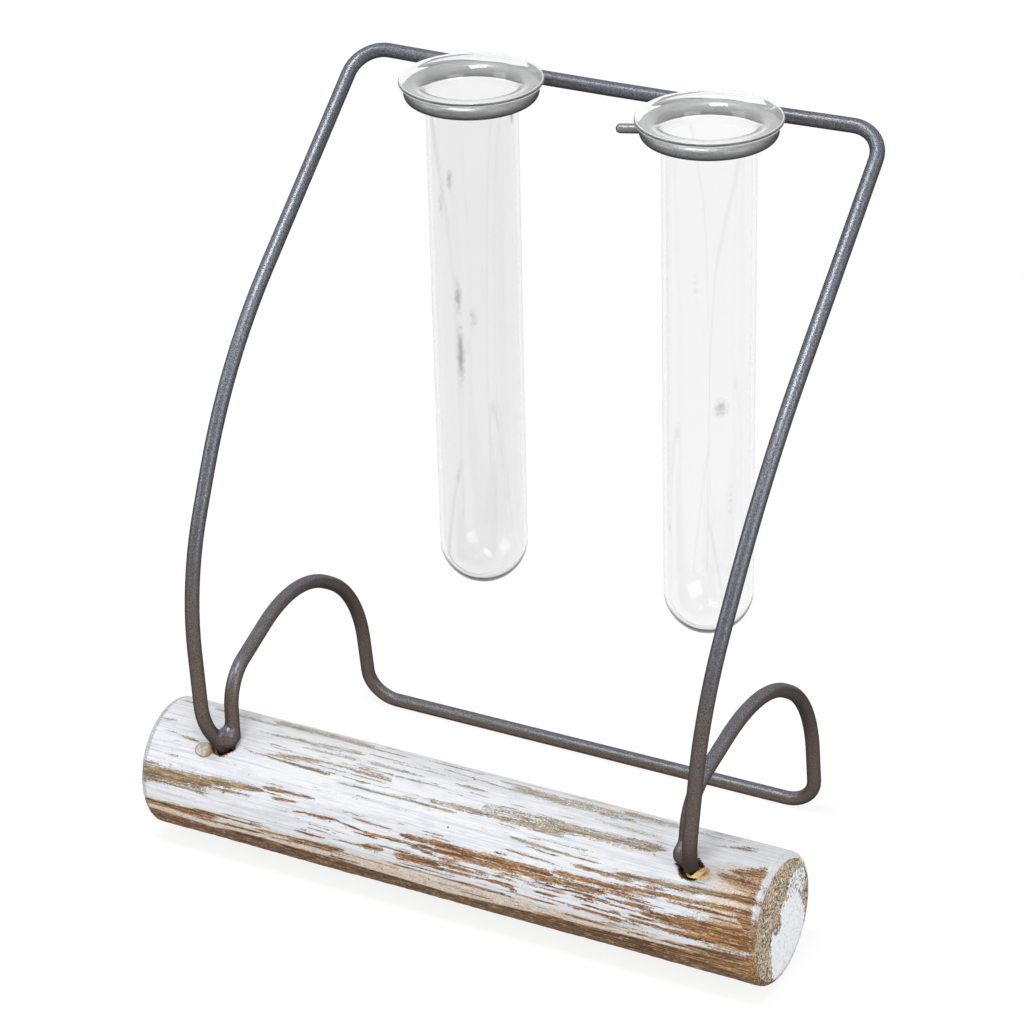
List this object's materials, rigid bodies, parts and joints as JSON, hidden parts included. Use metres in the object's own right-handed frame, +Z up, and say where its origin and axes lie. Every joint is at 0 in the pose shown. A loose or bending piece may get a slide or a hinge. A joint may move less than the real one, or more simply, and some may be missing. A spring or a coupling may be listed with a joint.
{
  "type": "test tube vase",
  "caption": "Bud vase: whitewashed log base, bent wire frame leaning back from it, and flared glass test tubes hanging in wire rings.",
  "frame": {"origin": "on the table, below the middle of the object's box", "axes": "+X along the log, +Y to the back, where the frame leans, +Z up"},
  "size_m": [0.1859, 0.1162, 0.2041],
  "materials": {
    "whitewashed_wood": "worn white wash over brown wood",
    "painted_wire": "satin dark grey",
    "weld": "satin dark grey",
    "glue": "dried glue",
    "tube_glass": "clear"
  },
  "bodies": {
    "stand": {"log": "whitewashed_wood", "bow_wire": "painted_wire", "foot_wire": "painted_wire", "left_ring": "painted_wire", "right_ring": "painted_wire", "left_ring_weld": "weld", "right_ring_weld": "weld", "left_foot_weld": "weld", "right_foot_weld": "weld", "left_glue": "glue", "right_glue": "glue"},
    "left_tube": {"left_tube": "tube_glass"},
    "right_tube": {"right_tube": "tube_glass"}
  },
  "joints": [
    {"name": "left_tube_lift", "type": "slide", "parent": "stand", "child": "left_tube", "axis": [-0.0052, 0, 1], "range_m": [0, 0.16]},
    {"name": "right_tube_lift", "type": "slide", "parent": "stand", "child": "right_tube", "axis": [-0.0122, 0, 0.9999], "range_m": [0, 0.16]}
  ]
}
